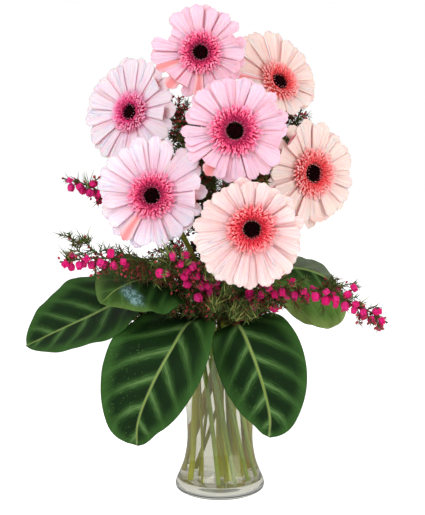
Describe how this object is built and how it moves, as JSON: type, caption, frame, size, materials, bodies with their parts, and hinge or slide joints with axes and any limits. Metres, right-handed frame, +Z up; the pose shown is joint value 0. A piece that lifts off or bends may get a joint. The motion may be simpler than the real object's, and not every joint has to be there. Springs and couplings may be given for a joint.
{
  "type": "gerberas in a vase",
  "caption": "Pink gerberas with broad striped leaves and flowering boronia sprays, standing in water in a clear waisted glass vase.",
  "frame": {"origin": "centre of the vase's foot, on the flat face that it stands on", "axes": "+Z up along the vase's axis; -Y towards the front, where the blooms face; +X to the right as seen from the front"},
  "size_m": [0.3698, 0.1794, 0.5154],
  "materials": {
    "glass": "gloss",
    "water": "gloss",
    "ray_pink": "satin",
    "ray_pale": "satin",
    "ray_peach": "satin",
    "floret_magenta": "matte",
    "floret_red": "matte",
    "disc": "matte",
    "stem": "satin",
    "leaf": "gloss",
    "boronia": "satin"
  },
  "bodies": {
    "root": {"vase": "glass", "water": "water", "gerbera_1_rays": "ray_pink", "gerbera_1_florets": "floret_magenta", "gerbera_1_disc": "disc", "gerbera_1_stem": "stem", "gerbera_2_rays": "ray_peach", "gerbera_2_florets": "floret_red", "gerbera_2_disc": "disc", "gerbera_2_stem": "stem", "gerbera_3_rays": "ray_pale", "gerbera_3_florets": "floret_magenta", "gerbera_3_disc": "disc", "gerbera_3_stem": "stem", "gerbera_4_rays": "ray_pink", "gerbera_4_florets": "floret_magenta", "gerbera_4_disc": "disc", "gerbera_4_stem": "stem", "gerbera_5_rays": "ray_pale", "gerbera_5_florets": "floret_magenta", "gerbera_5_disc": "disc", "gerbera_5_stem": "stem", "gerbera_6_rays": "ray_peach", "gerbera_6_florets": "floret_red", "gerbera_6_disc": "disc", "gerbera_6_stem": "stem", "gerbera_7_rays": "ray_peach", "gerbera_7_florets": "floret_red", "gerbera_7_disc": "disc", "gerbera_7_stem": "stem", "leaf_1": "leaf", "leaf_2": "leaf", "leaf_3": "leaf", "leaf_4": "leaf", "leaf_5": "leaf", "boronia_1": "boronia", "boronia_2": "boronia", "boronia_3": "boronia", "boronia_4": "boronia", "boronia_5": "boronia", "boronia_6": "boronia", "boronia_7": "boronia"}
  },
  "joints": []
}
